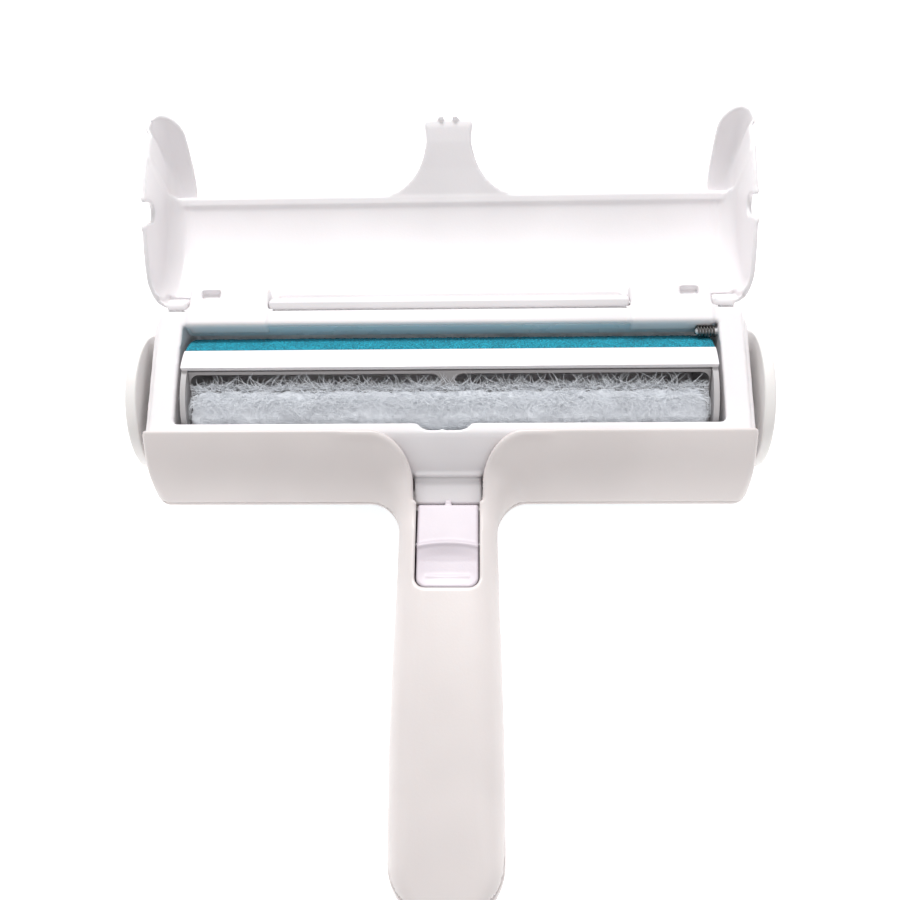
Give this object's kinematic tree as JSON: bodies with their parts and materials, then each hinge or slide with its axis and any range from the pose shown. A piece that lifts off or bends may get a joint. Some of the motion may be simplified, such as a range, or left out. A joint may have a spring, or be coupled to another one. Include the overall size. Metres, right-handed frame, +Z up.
{
  "type": "lint roller",
  "caption": "Reusable two-way lint roller: a fabric-padded drum swings in a T-shaped body with a fold-back lid, a sprung release button and end discs.",
  "frame": {"origin": "middle of the bottom of the whole roller with its lid open", "axes": "+X along the drum axis to the right, +Y from the handle towards the lid hinge, +Z up from the surface it lies on"},
  "size_m": [0.19, 0.2339, 0.0604],
  "materials": {
    "body_plastic": "satin moulded",
    "frame_plastic": "satin moulded",
    "inner_plastic": "matte moulded",
    "button_plastic": "satin moulded",
    "disc_plastic": "satin moulded",
    "drum_end_plastic": "matte moulded",
    "web_plastic": "matte moulded",
    "wiper_plastic": "soft, slightly clear",
    "pad_fabric": "short directional nap",
    "hair": "loose fibres",
    "steel": "zinc plated",
    "spring_wire": "oiled wire"
  },
  "bodies": {
    "body": {"handle_top_shell": "body_plastic", "handle_bottom_shell": "body_plastic", "chamber_frame": "frame_plastic", "button_cradle": "inner_plastic", "hinge_pins": "steel", "lid_spring": "spring_wire", "wiper_strip_far": "wiper_plastic", "wiper_strip_near": "wiper_plastic", "bush_left": "inner_plastic", "bush_right": "inner_plastic", "handle_screws": "steel", "frame_screws": "steel", "button_pin": "steel", "button_spring": "spring_wire"},
    "lid": {"lid_shell": "frame_plastic"},
    "drum": {"drum_shell": "frame_plastic", "drum_end_left": "drum_end_plastic", "drum_end_right": "drum_end_plastic", "drum_web": "web_plastic", "rail_far": "frame_plastic", "rail_near": "frame_plastic", "lint_pad_far": "pad_fabric", "lint_pad_near": "pad_fabric", "divider_strip": "frame_plastic", "axle_left": "steel", "axle_right": "steel", "end_disc_left": "disc_plastic", "end_disc_right": "disc_plastic", "hair_wad": "hair"},
    "button": {"release_button": "button_plastic"}
  },
  "joints": [
    {"name": "lid_hinge", "type": "hinge", "parent": "body", "child": "lid", "pos_m": [0, 0.0579, 0.0367], "axis": [1, 0, 0], "range_deg": [0, 180]},
    {"name": "drum_roll", "type": "hinge", "parent": "body", "child": "drum", "pos_m": [0, 0.0335, 0.021], "axis": [1, 0, 0], "range_deg": [-60, 0]},
    {"name": "button_press", "type": "hinge", "parent": "body", "child": "button", "pos_m": [0, -0.0125, 0.018], "axis": [1, 0, 0], "range_deg": [0, 5], "stiffness_Nm_per_rad": 0.3, "springref_deg": -1.15, "deforming": ["button_spring"]}
  ]
}
